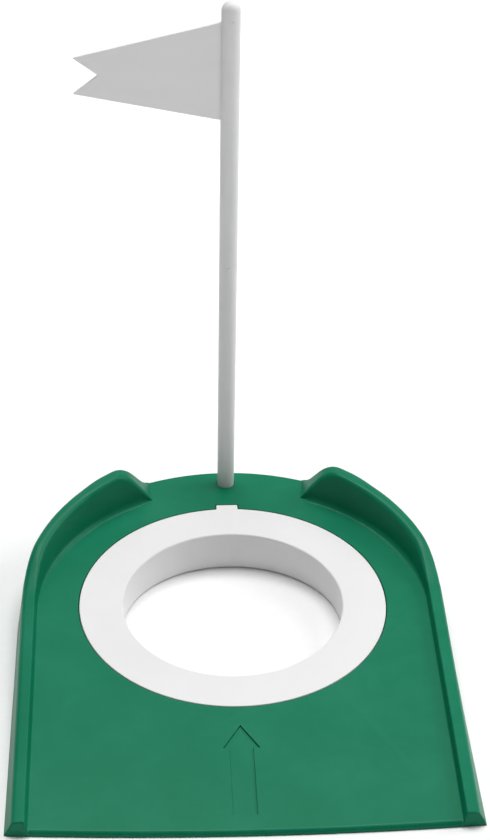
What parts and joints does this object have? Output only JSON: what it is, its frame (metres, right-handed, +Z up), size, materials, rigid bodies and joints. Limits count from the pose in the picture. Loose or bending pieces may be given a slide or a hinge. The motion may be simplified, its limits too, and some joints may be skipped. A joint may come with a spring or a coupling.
{
  "type": "practice putting hole with flag",
  "caption": "Ramped green putting practice plate with a round cup hole, a lift-out white cup ring, raised backstop kerbs and a pull-out flagstick with pennant.",
  "frame": {"origin": "middle of the footprint, on the floor", "axes": "+Z up, +Y from the thin front edge of the ramp towards the backstop and the flagstick, +X to the right of a player who putts along +Y"},
  "size_m": [0.2128, 0.2638, 0.2905],
  "materials": {
    "base_green": "satin moulded green polypropylene with a faint moulded grain",
    "ring_white": "satin white moulded plastic",
    "stick_white": "satin white moulded plastic, faint mould parting lines",
    "pennant_white": "satin white moulded plastic"
  },
  "bodies": {
    "base": {"base_plate": "base_green"},
    "ring": {"cup_ring": "ring_white"},
    "stick": {"flagstick": "stick_white", "pennant": "pennant_white"}
  },
  "joints": [
    {"name": "ring_lift", "type": "slide", "parent": "base", "child": "ring", "axis": [0, 0, 1], "range_m": [0, 0.03]},
    {"name": "stick_pull", "type": "slide", "parent": "base", "child": "stick", "axis": [0, 0, 1], "range_m": [0, 0.03]}
  ]
}
